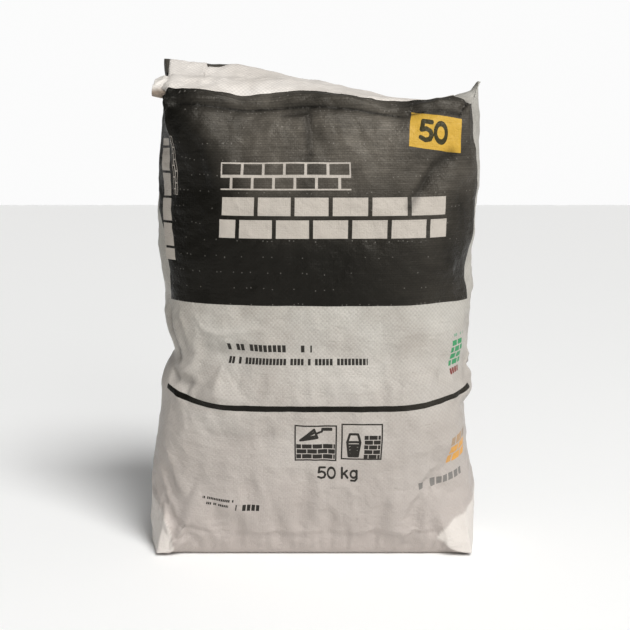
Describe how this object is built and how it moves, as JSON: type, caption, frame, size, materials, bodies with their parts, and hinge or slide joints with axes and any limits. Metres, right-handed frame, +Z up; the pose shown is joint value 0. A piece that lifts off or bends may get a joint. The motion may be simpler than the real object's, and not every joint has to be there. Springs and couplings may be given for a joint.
{
  "type": "cement bag",
  "caption": "Filled block-bottom valve sack of coated woven polypropylene, standing upright on its folded base.",
  "frame": {"origin": "middle of the flat underside that the bag stands on", "axes": "+Z up, -Y out of the printed front panel, -X towards the end with the filling valve"},
  "size_m": [0.4235, 0.1872, 0.6227],
  "materials": {
    "sack_fabric": "coated woven polypropylene, satin, white with a black printed zone",
    "top_patch_fabric": "coated woven polypropylene, white, welded",
    "bottom_patch_fabric": "coated woven polypropylene, white, welded",
    "valve_film": "coated woven polypropylene with cement dust"
  },
  "bodies": {
    "root": {"sack": "sack_fabric", "top_patch": "top_patch_fabric", "bottom_patch": "bottom_patch_fabric", "valve_sleeve": "valve_film"}
  },
  "joints": []
}
